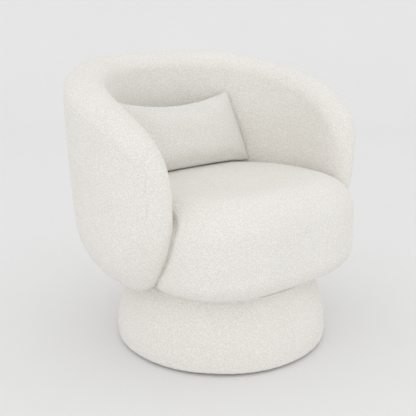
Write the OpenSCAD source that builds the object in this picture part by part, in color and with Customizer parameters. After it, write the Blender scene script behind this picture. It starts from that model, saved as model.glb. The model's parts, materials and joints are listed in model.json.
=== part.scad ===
// Swivel tub chair: a barrel back on a round upholstered drum, with a loose lumbar cushion.
// Z is up, the sitter looks toward -Y, and the origin lies on the floor under the middle of the
// chair's box. Millimetres and degrees.

/* [Tub shell] */
// Radius of the tub, outside the cover at the crest
tub_r = 390; // [340:1:440]
// Height of the crest at the middle of the back, above the floor
tub_h = 720; // [660:1:780]
// Height of the foremost point of each arm, above the floor
arm_tip_h = 418; // [390:1:450]
// Angle from the middle of the back round to each arm's foremost point
wrap_deg = 120.7; // [110:0.1:128]
// Thickness of the padded wall, cover to cover
wall_t = 105; // [95:1:125]
// Roundness of the crest, half its height
crest_rise = 46; // [36:1:56]
// How far the tub's waist, where the underside starts to tuck in, lies inside its radius
waist_in = 14; // [0:1:40]
// Height of the tuck above the tub's lower edge
tuck_rise = 133; // [100:1:150]
// How far the outside tucks in at the lower edge
tuck_in = 88; // [60:1:92]
// Fullness of the tuck's curve: 2 is round, less is a straighter slope
tuck_pow = 1.8; // [1.5:0.1:2]
// How far the lower edge hangs below the tub's floor board
rim_drop = 7; // [5:0.5:9]
// Distance of the arm seam from the edge of the arm
seam_in = 46; // [45:1:60]

/* [Seat] */
// How far the sides of the seat block lie inside the tub's radius
seat_side_in = 98; // [80:1:120]
// Reach of the seat front from the swivel axis
seat_front = 299; // [280:1:320]
// Height of the seat top over the swivel axis, before its crown
seat_h = 420; // [400:1:440]
// Rise of the crown at the middle of the seat
seat_crown = 9; // [4:1:16]
// Fall of the seat toward the back
seat_pitch_deg = 3.4; // [2:0.1:5]
// Rounding of the seat's front top edge
seat_round_top = 84; // [60:1:100]
// Rounding of the seat top where it meets the back
seat_round_back = 80; // [50:1:100]
// Rounding of the seat's lower edge
seat_round_low = 76; // [50:1:84]
// Inset of the seam between top panel and front band
seat_seam_in = 46; // [36:1:60]

/* [Drum base] */
// Largest radius of the upholstered drum
drum_r = 280; // [250:1:300]
// Radius of the drum at its top edge
drum_top_r = 236; // [225:1:250]
// Height of the drum, glides excluded
drum_h = 178; // [160:1:200]
// How much the drum draws in at its lower edge
drum_foot_in = 3; // [0:0.5:6]
// Height of each glide
glide_h = 6; // [5:0.5:9]
// Radius of each glide
glide_r = 15; // [11:0.5:18]
// Number of glides
glide_n = 6; // [4:1:8]
// Radius of the circle the glides stand on
glide_ring_r = 222; // [200:1:228]
// Number of upright webs in the drum
drum_rib_n = 6;

/* [Covers and padding] */
// Thickness of the looped cover fabric
cloth_t = 2.5; // [2:0.1:3]
// Thickness of the wadding outside the tub and the drum
wadding_t = 8; // [7:0.5:9]
// Padding above the frame's top rail
crest_pad = 44; // [40:1:48]
// Padding ahead of the arm posts
nose_pad = 106; // [98:1:114]
// Foam that rounds the underside of each arm's nose, below the post
nose_low_pad = 96; // [90:1:104]
// Clearance between soft layers and what they lie on
soft_gap = 0.3; // [0.2:0.05:0.4]
// Thickness of the dust cover cloth
dust_t = 1; // [0.8:0.1:1.2]

/* [Timber frame] */
// Thickness of the drum and tub floor boards
board_t = 18; // [15:1:21]
// Thickness of the upright webs and ribs
rib_t = 18; // [15:1:21]
// Depth of the tub ribs, from outside to inside
rib_d = 36; // [32:1:38]
// Thickness of the bent outer panel
panel_t = 3.5; // [3:0.25:4]
// Thickness of the bent inner panel
inner_panel_t = 3; // [2.5:0.25:3.5]
// Height of the top rail
top_rail_h = 40; // [34:1:46]
// Height of the tub's bottom rail
low_rail_h = 22; // [18:1:26]
// Width of the tub's bottom rail
low_rail_w = 36; // [30:1:40]
// Height of the tack rail at seat level
tack_rail_h = 38; // [30:1:44]
// Thickness of the tack rail
tack_rail_t = 17; // [14:1:19]
// Height of the tack rail's lower face above the floor
tack_rail_z = 346; // [340:1:352]
// Room between the seat frame and the inside of the arms
frame_side_room = 43; // [39:1:56]
// Room between the seat frame and the feet of the ribs
frame_back_room = 10; // [6:1:20]
// Height of the seat frame
frame_h = 70; // [60:1:80]
// Thickness of the seat frame's rails
frame_t = 22; // [18:1:25]
// Padding between seat frame and front band
front_pad = 48; // [44:1:56]
// Width of the covers' hems under the floor board
hem_in = 25; // [20:1:30]
// Width of one webbing strap
strap_w = 58; // [50:1:62]
// Thickness of one webbing strap
strap_t = 2; // [1.5:0.1:2.4]

/* [Swivel] */
// Side of the square swivel plates
plate_w = 256; // [240:1:262]
// Thickness of the swivel plates
plate_t = 2.5; // [2:0.1:3]
// Corner radius of the swivel plates
plate_corner = 16; // [10:1:24]
// Radius of the circle the balls run on
ball_ring_r = 100; // [85:1:105]
// Radius of one ball
ball_r = 4; // [3.5:0.1:4.2]
// Number of balls
ball_n = 24; // [16:1:24]
// Running clearance of the balls and of the pivot
run_gap = 0.05; // [0.03:0.01:0.08]
// Distance of each plate fixing from the middle, along both sides
bolt_at = 108; // [98:1:110]
// Outer radius of the pivot sleeve
sleeve_r = 33; // [28:1:38]

/* [Lumbar cushion] */
// Half width of the cushion along its lower edge
pillow_low_w = 226; // [200:1:232]
// Half width of the cushion along its upper edge
pillow_top_w = 186; // [170:1:200]
// Height of the cushion
pillow_h = 206; // [180:1:230]
// Thickness of the cushion at its middle
pillow_t = 92; // [70:1:104]
// Lean of the cushion toward the back
pillow_lean_deg = 16; // [12:1:20]
// Distance of its lower edge behind the swivel axis
pillow_at = 148; // [140:1:156]
// Droop of its upper edge between the corners
pillow_droop = 27; // [16:1:32]

/* [Hidden] */
$fn = 96;

// Shapes of the tub's two edges: exponents of the crest fall, the nose and the wall's thinning
crest_pow_u = 2.2;
crest_pow_h = 2.8;
nose_pow = 1.9;
thin_pow = 12;
// Share of the wrap at which the lower edge starts to climb to the arm's nose
nose_start_share = 0.8;
// Last share of the wrap that a section is drawn at
nose_end_share = 0.9994;
// Steps of the soft shell: sections on each side, and facets round the crest and the tuck
shell_n = 13;
crest_n = 6;
tuck_n = 5;
// Facets round the hollow of the padding
soft_fn = 44;
// Extra room where a faceted hollow goes round the true curves of the frame
facet_room = 1.2;
// One overrun for all cuts
over = 2;
// Heights that follow from the stack of glides, drum, swivel and boards
drum_z = glide_h;
drum_top_z = drum_z + drum_h;
base_floor_z = drum_z + cloth_t;
base_floor_top = base_floor_z + board_t;
swivel_z = drum_top_z - cloth_t;
base_roof_z = swivel_z - board_t;
// Steel under and over each ball
race_bed = 3.5;
race_lip = 1.5;
cage_t = 2;
race_w = 18;
swivel_t = 2 * (plate_t + race_bed + ball_r);
ball_z = swivel_z + swivel_t / 2;
floor_z = swivel_z + swivel_t;
floor_top = floor_z + board_t;
edge_z = floor_z - rim_drop;
tuck_z = edge_z + tuck_rise;
waist_r = tub_r - waist_in;
frame_top = floor_top + frame_h;
strap_top = frame_top + 2 * strap_t;

// Widths that follow from the tub
seat_half_w = tub_r - seat_side_in;
frame_half_w = waist_r - wall_t - frame_side_room;

// The chair's box is centred on the origin, so the swivel axis lies a little ahead of it
axis_y = (seat_front - tub_r) / 2;

// Depths below the tub's outer surface, layer by layer
foam_out = cloth_t + soft_gap;
wad_in = foam_out + wadding_t;
panel_out = wad_in + soft_gap;
panel_in = panel_out + panel_t;
rib_out = panel_in + soft_gap;
rib_in = rib_out + rib_d;
lining_out = rib_in + soft_gap;
lining_in = lining_out + inner_panel_t;
hollow_in = lining_in + soft_gap;

// Reach of the open well under the seat, behind the arms
well_y = 30;
well_top = tack_rail_z - 6 * soft_gap;
turn_under = 30;

module at_axis() translate([0, axis_y, 0]) children();

// Outline functions of the tub
function clamp01(v) = min(1, max(0, v));
function ramp_rad(z) =
    waist_r + (tub_r - waist_r) * sin(90 * clamp01((z - tuck_z) / (tub_h - crest_rise - tuck_z)));
function tuck_cut(z) =
    1 - pow(1 - pow(clamp01((tuck_z - z) / tuck_rise), tuck_pow), 1 / tuck_pow);
// Shares of the tuck's width and height at step k of its curve
function tuck_out(k) = pow(cos(90 * (1 - k / tuck_n)), 2 / tuck_pow);
function tuck_down(k) = pow(sin(90 * (1 - k / tuck_n)), 2 / tuck_pow);
function body_rad(z) = ramp_rad(z) - tuck_in * tuck_cut(z);
// Heights at which the wall's surface is drawn, so that every layer turns at the same heights
rise_n = 2;
surface = concat(
    [[edge_z - over, body_rad(edge_z)]],
    [for (k = [0:tuck_n]) let (z = tuck_z - tuck_rise * tuck_down(k)) [z, body_rad(z)]],
    [for (k = [1:rise_n]) let (z = tuck_z + (tub_h - crest_rise - tuck_z) * k / rise_n)
        [z, body_rad(z)]],
    [[tub_h + over, body_rad(tub_h)]]
);
function wall_rad(z) = lookup(z, surface);
// The surface between two heights, drawn in by d, and the same line read downward
function wall_line(d, z1, z2) = concat(
    [[wall_rad(z1) - d, z1]],
    [for (p = surface) if (p[0] > z1 && p[0] < z2) [p[1] - d, p[0]]],
    [[wall_rad(z2) - d, z2]]
);
function backward(list) = [for (k = [len(list) - 1:-1:0]) list[k]];
function top_at(u, o = 0) =
    arm_tip_h + (tub_h - o - arm_tip_h) * pow(1 - pow(u, crest_pow_u), 1 / crest_pow_h);
function nose_at(u) = clamp01((u - nose_start_share) / (1 - nose_start_share));
function low_at(u, o = 0) =
    edge_z + o
    + (arm_tip_h - edge_z - o) * (1 - pow(1 - pow(nose_at(u), nose_pow), 1 / nose_pow));
function wrap_at(o) = wrap_deg - o / tub_r * 180 / PI;

// Position of section i of -n to n, closer together toward the noses
function section_share(i) = nose_end_share * (0.62 * i / shell_n + 0.38 * sin(90 * i / shell_n));

// One section of the padded wall, as [radius, height] points going round it
function section_points(u, o_out, o_in, o_top, o_low, rise) =
    let (
        thin = sqrt(1 - pow(u, thin_pow)),
        zt = top_at(u, o_top),
        zb = low_at(u, o_low),
        h = zt - zb,
        rc = min(rise, 0.45 * h),
        zc = zt - rc,
        zk = min(zb + tuck_rise - o_low, zb + 0.5 * h),
        half_out = (wall_t / 2 - o_out) * thin,
        half_in = (wall_t / 2 - o_in) * thin,
        r_top = ramp_rad(zc) - wall_t / 2,
        r_mid = ramp_rad((zc + zk) / 2) - wall_t / 2,
        r_low = ramp_rad(zk) - wall_t / 2,
        cut = min(tuck_in, 0.84 * (half_out + half_in)),
        lip = min(0.16 * (half_out + half_in), 0.2 * h),
        c = r_top + (half_out - half_in) / 2,
        w = (half_out + half_in) / 2
    )
    concat(
        [for (k = [0:tuck_n])
            [r_low + half_out - cut * (1 - tuck_out(k)), zk - (zk - zb) * tuck_down(k)]],
        [[r_mid + half_out, (zc + zk) / 2]],
        [for (k = [0:crest_n]) [c + w * cos(180 * k / crest_n), zc + rc * sin(180 * k / crest_n)]],
        [[r_mid - half_in, (zc + zk) / 2]],
        [[r_low - half_in, zk]],
        [[r_low - half_in, zb + lip]]
    );
section_n = tuck_n + crest_n + 6;

function around(p, psi) = [p[0] * sin(psi), p[0] * cos(psi), p[1]];

// Angles of the sections of a body whose tips are drawn in by o_tip: the same as the wall's
// own as far as they go, so that all layers turn at the same places
function angles(o_tip) =
    let (e = nose_end_share * wrap_at(o_tip))
    concat(
        [-e],
        [for (i = [-shell_n:shell_n]) let (a = section_share(i) * wrap_deg) if (abs(a) < e - 0.6) a],
        [e]
    );

// The whole padded wall as one closed body, drawn in by the given depths on each side
module shell_body(o_out = 0, o_in = 0, o_top = 0, o_low = 0, o_tip = 0, rise = crest_rise) {
    turns = angles(o_tip);
    points = [for (psi = turns)
        for (p = section_points(abs(psi) / wrap_at(o_tip), o_out, o_in, o_top, o_low, rise))
            around(p, psi)];
    m = section_n;
    last = len(turns) - 1;
    sides = [for (i = [0:last - 1]) for (k = [0:m - 1]) each [
        [i * m + k, (i + 1) * m + k, (i + 1) * m + (k + 1) % m],
        [i * m + k, (i + 1) * m + (k + 1) % m, i * m + (k + 1) % m]
    ]];
    start_cap = [for (k = [1:m - 2]) [0, k, k + 1]];
    end_cap = [for (k = [1:m - 2]) [last * m, last * m + k + 1, last * m + k]];
    polyhedron(points, concat(sides, start_cap, end_cap));
}

// Everything that the outer cover takes: the outside, short of the arm seam by seam_in, and
// behind the arms all that lies below the seat, with the strip that turns under the board
module outside_zone() {
    intersection() {
        tub_band(-wadding_t, wad_in + cloth_t, edge_z - over, tub_h, wrap_at(seam_in), soft_fn);
        side_clip(tub_r + wadding_t, seam_in, seam_in, seam_in);
    }
    translate([-tub_r, rim_drop - well_y, edge_z - 2 * over])
        cube([2 * tub_r, tub_r + well_y, well_top - rim_drop - edge_z + over]);
}

// Hollow of the padding, where the frame stands: behind the arms down to the floor board, and
// in each arm's nose down to the foam that rounds it
module frame_hollow()
    intersection() {
        tub_band(
            wad_in - facet_room, hollow_in, floor_z - soft_gap, tub_h, wrap_at(nose_pad), soft_fn
        );
        union() {
            side_clip(clip_r, crest_pad, nose_low_pad, nose_pad);
            translate([-tub_r, -well_y, 0]) cube([2 * tub_r, tub_r + well_y, well_top + over]);
        }
    }

// Open well below seat height and behind the arms, from inside the wall out into its hollow,
// built as wedges that meet face to face
well_n = 22;
well_turns = [for (i = [0:well_n]) (2 * i / well_n - 1) * (wrap_deg - 2)];
module well() {
    r_in = wall_rad(edge_z) - 2 * turn_under;
    line = concat(
        [[r_in, edge_z - over], [wall_rad(edge_z) - turn_under, edge_z - over]],
        wall_line(turn_under - rim_drop, floor_z - 3 * soft_gap, well_top),
        [[r_in, well_top]]
    );
    intersection() {
        union()
            for (i = [0:well_n - 1])
                let (points = [for (a = [well_turns[i], well_turns[i + 1]])
                    for (p = line) around(p, a)])
                hull() polyhedron(points, [[for (k = [0:len(points) - 1]) k]]);
        translate([-tub_r, -well_y, 0]) cube([2 * tub_r, tub_r + well_y, tub_h]);
    }
}

// Band of the tub's true surface between two depths and two heights
module tub_band(d1, d2, z1, z2, half_deg, n = $fn) {
    rotate([0, 0, 90 - half_deg])
        rotate_extrude(angle = 2 * half_deg, $fn = n)
            polygon(concat(wall_line(d1, z1, z2), backward(wall_line(d2, z1, z2))));
}

// The wall's outline in the side view, drawn in by the given depths, and prisms across the
// chair with a side view
clip_n = 18;
clip_r = tub_r - rib_in / 2;
module side_view(r, o_top, o_low, o_tip) {
    w = wrap_at(o_tip);
    polygon(concat(
        [[r + over, edge_z + o_low], [r + over, tub_h - o_top]],
        [for (k = [1:clip_n]) let (u = sin(90 * k / clip_n) * nose_end_share)
            [r * cos(u * w), top_at(u, o_top)]],
        [for (k = [clip_n:-1:1]) let (u = sin(90 * k / clip_n) * nose_end_share)
            if (u > nose_start_share) [r * cos(u * w), low_at(u, o_low)]],
        [[r * cos(nose_start_share * w), edge_z + o_low]]
    ));
}
module across() rotate([90, 0, 90]) linear_extrude(2 * tub_r + over, center = true) children();
module side_clip(r, o_top, o_low, o_tip) across() side_view(r, o_top, o_low, o_tip);

// Drum base; drum_pow sets how late its side leans in
drum_pow = 2;
function drum_rad(z) =
    let (s = clamp01((z - drum_z) / drum_h))
    drum_r - (drum_r - drum_top_r) * pow(s, drum_pow) - drum_foot_in * pow(1 - s, 8);
hoop_out = wad_in + soft_gap;
hoop_in = hoop_out + inner_panel_t;
web_out = hoop_in + soft_gap;
drum_hub_r = 70;
drum_n = 16;
function drum_line(d, z1, z2, n = drum_n) =
    [for (k = [0:n]) let (z = z1 + (z2 - z1) * k / n) [drum_rad(z) - d, z]];
function drum_back(d, z1, z2, n = drum_n) =
    [for (k = [n:-1:0]) let (z = z1 + (z2 - z1) * k / n) [drum_rad(z) - d, z]];

nail_r = 1.6;
nail_l = 16;
screw_r = 2;
screw_head_r = 4.2;
screw_l = 38;
base_screw_at = 170;

module ring_of(n, r, turn = 0)
    for (i = [0:n - 1]) rotate([0, 0, turn + 360 / n * i]) translate([r, 0, 0]) children();

glide_turn_deg = 180 / glide_n;
module base_glides() color("dimgray") at_axis()
    ring_of(glide_n, glide_ring_r, glide_turn_deg)
        difference() {
            rotate_extrude()
                polygon([
                    [0, 0],
                    [glide_r - glide_h / 3, 0],
                    [glide_r, glide_h / 3],
                    [glide_r, base_floor_z],
                    [0, base_floor_z]
                ]);
            translate([0, 0, glide_h / 3]) cylinder(r = nail_r + run_gap, h = base_floor_z);
            translate([0, 0, -over]) cylinder(r = 2.2 * nail_r, h = glide_h / 2 + over);
        }

module glide_nail(grow = 0) {
    translate([0, 0, glide_h / 2 - nail_r / 2]) cylinder(r = 2 * nail_r + grow, h = nail_r / 2);
    translate([0, 0, glide_h / 2]) cylinder(r = nail_r + grow, h = nail_l + grow);
}
module base_glide_nails() color("silver") at_axis()
    ring_of(glide_n, glide_ring_r, glide_turn_deg)
        glide_nail();

// Screws up through the floor board and down through the roof board, into every web
module screw_head(grow = 0) {
    cylinder(r1 = screw_head_r + grow, r2 = screw_r + grow, h = screw_head_r - screw_r);
    if (grow > 0) translate([0, 0, -over]) cylinder(r = screw_head_r + grow, h = over + grow);
}
module base_screw(grow = 0) {
    screw_head(grow);
    cylinder(r = screw_r + grow, h = screw_l + grow);
}
module base_screw_set(grow = 0) {
    ring_of(drum_rib_n, base_screw_at) translate([0, 0, base_floor_z]) base_screw(grow);
    ring_of(drum_rib_n, base_screw_at) translate([0, 0, swivel_z]) mirror([0, 0, 1]) base_screw(grow);
}
module base_screws() color("goldenrod") at_axis() base_screw_set();

module base_bottom_board() color("burlywood") at_axis()
    difference() {
        translate([0, 0, base_floor_z])
            cylinder(r = drum_rad(base_floor_top) - web_out - drum_foot_in, h = board_t);
        translate([0, 0, base_floor_z - over]) cylinder(r = drum_hub_r, h = board_t + 2 * over);
        base_screw_set(run_gap);
        ring_of(glide_n, glide_ring_r, glide_turn_deg) glide_nail(run_gap);
    }

// The roof board is bevelled to the drum's shoulder and has holes for the pivot, the plate's
// bolts and the driver that reaches the upper screws
access_r = 13;
bolt_r = 3;
nut_r = 4;
module base_top_board() color("burlywood") at_axis()
    difference() {
        rotate_extrude()
            polygon([
                [0, base_roof_z],
                [drum_rad(base_roof_z) - web_out, base_roof_z],
                [drum_rad(base_roof_z) - web_out, base_roof_z + board_t / 4],
                [drum_rad(drum_top_z) - web_out, swivel_z],
                [0, swivel_z]
            ]);
        translate([0, 0, base_roof_z - over]) cylinder(r = sleeve_r, h = board_t + 2 * over);
        for (x = [-1, 1], y = [-1, 1])
            translate([x * bolt_at, y * bolt_at, base_roof_z - over])
                cylinder(r = nut_r + run_gap, h = board_t + 2 * over);
        translate([bolt_at, 0, base_roof_z - over]) cylinder(r = access_r, h = board_t + 2 * over);
        base_screw_set(run_gap);
    }

module base_rib(i) color("wheat") at_axis()
    difference() {
        rotate([0, 0, 360 / drum_rib_n * i])
            rotate([90, 0, 0])
                linear_extrude(rib_t, center = true)
                    difference() {
                        polygon(concat(
                            [[drum_hub_r, base_floor_top]],
                            drum_line(web_out, base_floor_top, base_roof_z, 10),
                            [[drum_hub_r, base_roof_z]]
                        ));
                        translate([drum_hub_r + (drum_r - drum_hub_r) / 4, drum_top_z / 2])
                            circle(r = drum_h / 8);
                    }
        base_screw_set(run_gap);
    }

// Bent fibreboard hoop round the webs
module base_hoop() color("peru") at_axis()
    rotate_extrude()
        polygon(concat(
            drum_line(hoop_out, base_floor_z, base_roof_z),
            drum_back(hoop_in, base_floor_z, base_roof_z)
        ));

module base_wadding() color("mistyrose") at_axis()
    rotate_extrude()
        polygon(concat(
            [[drum_rad(drum_z) - 2 * cloth_t - soft_gap, base_floor_z + soft_gap]],
            drum_line(
                foam_out,
                drum_z + 2 * cloth_t + soft_gap,
                drum_top_z - 2 * cloth_t - soft_gap
            ),
            [[drum_rad(drum_top_z) - web_out + wadding_t / 4, swivel_z - soft_gap]],
            [[drum_rad(base_roof_z) - web_out + soft_gap, base_roof_z + board_t / 4]],
            [[drum_rad(base_roof_z) - web_out + soft_gap, base_roof_z + soft_gap]],
            [[drum_rad(base_roof_z) - wad_in, base_roof_z + soft_gap]],
            drum_back(wad_in, base_floor_z + soft_gap, base_roof_z)
        ));

// The drum's cover turns under the floor board and over the roof board
base_turn_in = 34;
top_opening_r = plate_w / 2 * sqrt(2) + cloth_t;
module base_cover() color("linen") at_axis()
    rotate_extrude()
        polygon(concat(
            [[drum_rad(drum_z) - base_turn_in, drum_z]],
            [[drum_rad(drum_z) - cloth_t, drum_z]],
            drum_line(0, drum_z + cloth_t, drum_top_z - cloth_t),
            [[drum_rad(drum_top_z) - cloth_t, drum_top_z]],
            [[top_opening_r, drum_top_z]],
            [[top_opening_r, drum_top_z - cloth_t]],
            [[drum_rad(drum_top_z) - 2 * cloth_t, drum_top_z - cloth_t]],
            drum_back(cloth_t, drum_z + 2 * cloth_t, drum_top_z - 2 * cloth_t),
            [[drum_rad(drum_z) - 2 * cloth_t, drum_z + cloth_t]],
            [[drum_rad(drum_z) - base_turn_in, drum_z + cloth_t]]
        ));

module base_dust_cover() color("dimgray") at_axis()
    difference() {
        translate([0, 0, base_floor_z - dust_t])
            cylinder(r = drum_rad(drum_z) - base_turn_in - soft_gap, h = dust_t);
        ring_of(glide_n, glide_ring_r, glide_turn_deg)
            translate([0, 0, base_floor_z - dust_t - over])
                cylinder(r = glide_r + soft_gap, h = dust_t + 2 * over);
    }

// Swivel: two pressed plates with races, caged balls and a flanged pivot sleeve
module plate_blank(h) linear_extrude(h) {
    square([plate_w - 2 * plate_corner, plate_w], center = true);
    square([plate_w, plate_w - 2 * plate_corner], center = true);
    for (x = [-1, 1], y = [-1, 1])
        translate([x, y] * (plate_w / 2 - plate_corner)) circle(r = plate_corner);
}
module bolt_pattern() for (x = [-1, 1], y = [-1, 1]) translate([x * bolt_at, y * bolt_at, 0]) children();

bolt_head_h = 3.6;
bolt_l = board_t + plate_t + 4;
module swivel_lower_plate() color("slategray") at_axis()
    difference() {
        translate([0, 0, swivel_z]) plate_blank(plate_t);
        translate([0, 0, swivel_z - over])
            cylinder(r = sleeve_r - sleeve_wall, h = plate_t + 2 * over);
        translate([0, 0, swivel_z - over]) bolt_pattern()
            cylinder(r = bolt_r + run_gap, h = plate_t + 2 * over);
        translate([bolt_at, 0, swivel_z - over]) cylinder(r = access_r, h = plate_t + 2 * over);
    }

// Section of one race: a ring with a groove a running clearance larger than the ball
module race_ring()
    rotate_extrude()
        difference() {
            translate([ball_ring_r - race_w / 2, -ball_r - race_bed])
                square([race_w, ball_r + race_bed - race_lip]);
            translate([ball_ring_r, 0]) circle(r = ball_r + run_gap);
        }
module swivel_lower_race() color("lightsteelblue") at_axis()
    difference() {
        translate([0, 0, ball_z]) race_ring();
        translate([bolt_at, 0, swivel_z]) cylinder(r = access_r, h = plate_t);
    }
module swivel_upper_race() color("lightsteelblue") at_axis()
    translate([0, 0, ball_z]) mirror([0, 0, 1]) race_ring();

sleeve_wall = 4;
sleeve_flange = 7;
sleeve_flange_t = 2.5;
module swivel_sleeve() color("gray") at_axis()
    rotate_extrude()
        polygon([
            [sleeve_r - sleeve_wall, swivel_z + plate_t],
            [sleeve_r, swivel_z + plate_t],
            [sleeve_r, floor_z + run_gap],
            [sleeve_r + sleeve_flange, floor_z + run_gap],
            [sleeve_r + sleeve_flange, floor_z + run_gap + sleeve_flange_t],
            [sleeve_r - sleeve_wall, floor_z + run_gap + sleeve_flange_t]
        ]);

module swivel_bolts() color("silver") at_axis()
    bolt_pattern() {
        translate([0, 0, swivel_z + plate_t])
            intersection() {
                cylinder(r = 2 * bolt_r, h = bolt_head_h);
                cylinder(r = 1.85 * bolt_r, h = bolt_head_h, $fn = 6);
            }
        translate([0, 0, swivel_z + plate_t - bolt_l]) cylinder(r = bolt_r, h = bolt_l);
    }
nut_flange_t = 1.5;
module swivel_tee_nuts() color("silver") at_axis()
    bolt_pattern()
        difference() {
            union() {
                translate([0, 0, base_roof_z - nut_flange_t])
                    cylinder(r = 2.4 * nut_r, h = nut_flange_t);
                translate([0, 0, base_roof_z - nut_flange_t])
                    cylinder(r = nut_r, h = board_t / 2);
            }
            translate([0, 0, base_roof_z - nut_flange_t - over])
                cylinder(r = bolt_r + run_gap, h = board_t + 2 * over);
        }

module swivel_cage() color("khaki") at_axis()
    difference() {
        translate([0, 0, ball_z - cage_t / 2])
            difference() {
                cylinder(r = ball_ring_r + race_w / 3, h = cage_t);
                translate([0, 0, -over])
                    cylinder(r = ball_ring_r - race_w / 3, h = cage_t + 2 * over);
            }
        ring_of(ball_n, ball_ring_r)
            translate([0, 0, ball_z - cage_t]) cylinder(r = ball_r + 2 * run_gap, h = 2 * cage_t);
    }
module swivel_balls() color("whitesmoke") at_axis()
    ring_of(ball_n, ball_ring_r) translate([0, 0, ball_z]) sphere(r = ball_r);

module swivel_upper_plate() color("slategray") at_axis()
    difference() {
        translate([0, 0, floor_z - plate_t]) plate_blank(plate_t);
        translate([0, 0, floor_z - plate_t - over])
            cylinder(r = sleeve_r + run_gap, h = plate_t + 2 * over);
        translate([0, 0, floor_z - plate_t - over]) bolt_pattern()
            cylinder(r = bolt_r + run_gap, h = plate_t + 2 * over);
    }
plate_screw_l = board_t - plate_t;
module plate_screw(grow = 0) {
    translate([0, 0, floor_z - plate_t - bolt_r])
        cylinder(r1 = bolt_r, r2 = 2 * bolt_r, h = bolt_r);
    translate([0, 0, floor_z - plate_t - bolt_r / 2])
        cylinder(r = bolt_r + grow, h = plate_t + bolt_r / 2 + plate_screw_l + grow);
}
module swivel_screws() color("goldenrod") at_axis() bolt_pattern() plate_screw();

// Tub floor and seat frame
// Square at the front and round at the back
function squircle(a, front, back, n, pow_n) =
    [for (k = [0:n - 1])
        let (t = 360 * k / n, c = cos(t), s = sin(t), e = s < 0 ? 2 / pow_n : 1)
        [a * sign(c) * pow(abs(c), e), (s < 0 ? front : back) * sign(s) * pow(abs(s), e)]];
seat_pow = 3.3;
frame_n = 48;
frame_front = seat_front - cloth_t - 2 * soft_gap - front_pad;
floor_r = wall_rad(floor_z) - rib_out;
frame_back = floor_r - low_rail_w - rib_t - frame_back_room;
module frame_outline(d = 0)
    polygon(squircle(frame_half_w - d, frame_front - d, frame_back - d, frame_n, seat_pow));

rail_deg = 92;
tub_screw_n = 8;
tub_screw_l = 32;
module tub_screw_set(grow = 0)
    for (i = [0:tub_screw_n - 1])
        rotate([0, 0, 90 - rail_deg + rail_deg * (2 * i + 1) / tub_screw_n])
            translate([floor_r - low_rail_w / 2, 0, floor_z]) {
                screw_head(grow);
                cylinder(r = screw_r + grow, h = tub_screw_l + grow);
            }
module tub_screws() color("goldenrod") at_axis() tub_screw_set();

module tub_floor_board() color("burlywood") at_axis()
    difference() {
        translate([0, 0, floor_z])
            linear_extrude(board_t)
                union() {
                    frame_outline();
                    intersection() {
                        circle(r = floor_r - 2 * soft_gap);
                        translate([-tub_r, -well_y / 2]) square([2 * tub_r, tub_r]);
                    }
                }
        translate([0, 0, floor_z - over])
            cylinder(r = sleeve_r + sleeve_flange + sleeve_wall, h = board_t + 2 * over);
        bolt_pattern() plate_screw(run_gap);
        tub_screw_set(run_gap);
    }

module arc_bar(r_in, r_out, z, h, half_deg)
    rotate([0, 0, 90 - half_deg])
        rotate_extrude(angle = 2 * half_deg)
            translate([r_in, z]) square([r_out - r_in, h]);

module tub_low_rail() color("tan") at_axis()
    difference() {
        arc_bar(floor_r - low_rail_w, floor_r, floor_top, low_rail_h, rail_deg);
        tub_screw_set(run_gap);
    }

tack_in = wall_rad(tack_rail_z + tack_rail_h) - rib_in;
tack_out = tack_in + tack_rail_t;
post_deg = 92;
post_end_deg = wrap_at(nose_pad) - 1;
tack_end_deg = post_deg + 6;
module tub_tack_rail() color("tan") at_axis()
    arc_bar(tack_in, tack_out, tack_rail_z, tack_rail_h, tack_end_deg);
// Notch for the tack rail, open toward the inside
module tack_notch()
    arc_bar(
        tack_in - rib_t,
        tack_out + run_gap,
        tack_rail_z - run_gap,
        tack_rail_h + 2 * run_gap,
        tack_end_deg
    );

// The top rail falls with the crest, so it is a ring cut twice by the wall's side outline
module top_bar(half_deg)
    difference() {
        intersection() {
            tub_band(rib_out, rib_in, tack_rail_z, tub_h, half_deg);
            side_clip(clip_r, crest_pad + 2 * soft_gap, 0, nose_pad);
        }
        side_clip(clip_r, crest_pad + 2 * soft_gap + top_rail_h, 0, nose_pad);
    }
rail_gap_deg = 0.3;
module tub_top_rail() color("tan") at_axis() top_bar(post_deg - rail_gap_deg);

// One rib: its outer edge follows the tub, its foot widens over the bottom rail, and it is
// notched for the bottom rail and the tack rail
rib_step_deg = 28;
module tub_rib(i) color("wheat") at_axis()
    difference() {
        intersection() {
            rotate([0, 0, 90 + rib_step_deg * i])
                rotate([90, 0, 0])
                    linear_extrude(rib_t, center = true)
                        polygon(concat(
                            wall_line(rib_out + soft_gap, floor_top, tub_h),
                            backward(wall_line(rib_in, tack_rail_z, tub_h)),
                            [[floor_r - low_rail_w - rib_t, floor_top + low_rail_h]],
                            [[floor_r - low_rail_w - rib_t, floor_top]]
                        ));
            side_clip(clip_r, crest_pad + 2 * soft_gap + top_rail_h + soft_gap, 0, nose_pad);
        }
        arc_bar(
            floor_r - low_rail_w - run_gap,
            floor_r + run_gap,
            floor_top - over,
            low_rail_h + over + run_gap,
            rail_deg + 6
        );
        tack_notch();
        tub_screw_set(run_gap);
    }

// Shaped post inside each arm's nose, let in over the end of the tack rail
module arm_post(side) {
    difference() {
        intersection() {
            rotate([0, 0, side > 0 ? 90 - post_end_deg : 90 + post_deg])
                rotate_extrude(angle = post_end_deg - post_deg)
                    polygon(concat(
                        wall_line(rib_out + rib_t / 2, edge_z + nose_low_pad, tub_h),
                        backward(wall_line(rib_in, edge_z + nose_low_pad, tub_h))
                    ));
            side_clip(clip_r, crest_pad + 2 * soft_gap, nose_low_pad + rib_t, nose_pad + rib_t);
        }
        tack_notch();
    }
}
module tub_arm_post_left() color("wheat") at_axis() arm_post(-1);
module tub_arm_post_right() color("wheat") at_axis() arm_post(1);

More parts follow.
